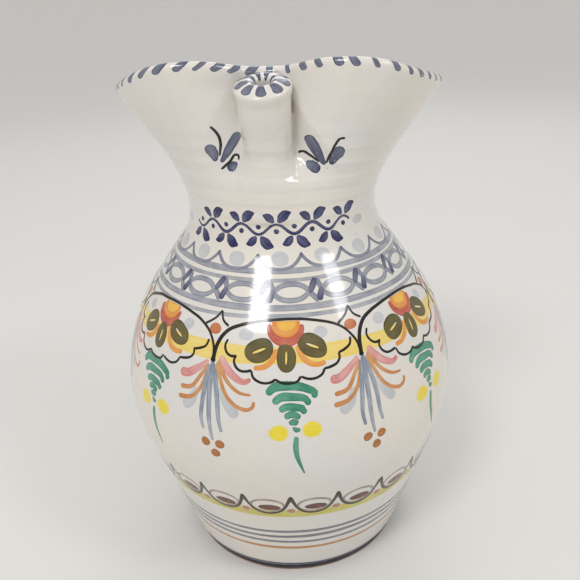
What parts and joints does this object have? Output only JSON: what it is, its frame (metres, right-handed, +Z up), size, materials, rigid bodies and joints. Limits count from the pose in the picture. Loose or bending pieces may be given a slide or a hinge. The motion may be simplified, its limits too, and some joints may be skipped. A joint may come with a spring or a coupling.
{
  "type": "pouring jug",
  "caption": "Bulbous tin-glazed earthenware jug with a waisted neck, two-lobed folded mouth, closed tubular pouring spout and strap handle.",
  "frame": {"origin": "centre of the foot ring's resting face, on the belly's axis", "axes": "+Z up along the belly's axis; the spout points to -Y, turned 7 degrees towards -X, and the handle is opposite it"},
  "size_m": [0.1686, 0.1993, 0.2528],
  "materials": {
    "white_glaze": "glossy tin-white glaze with hand-painted ornament",
    "bare_clay": "unglazed buff earthenware with a dark blue foot line"
  },
  "bodies": {
    "root": {"foot_ring": "bare_clay", "belly": "white_glaze", "neck_collar": "white_glaze", "spout_tube": "white_glaze", "strap_handle": "white_glaze", "upper_luting_coil": "white_glaze", "lower_luting_coil": "white_glaze"}
  },
  "joints": []
}
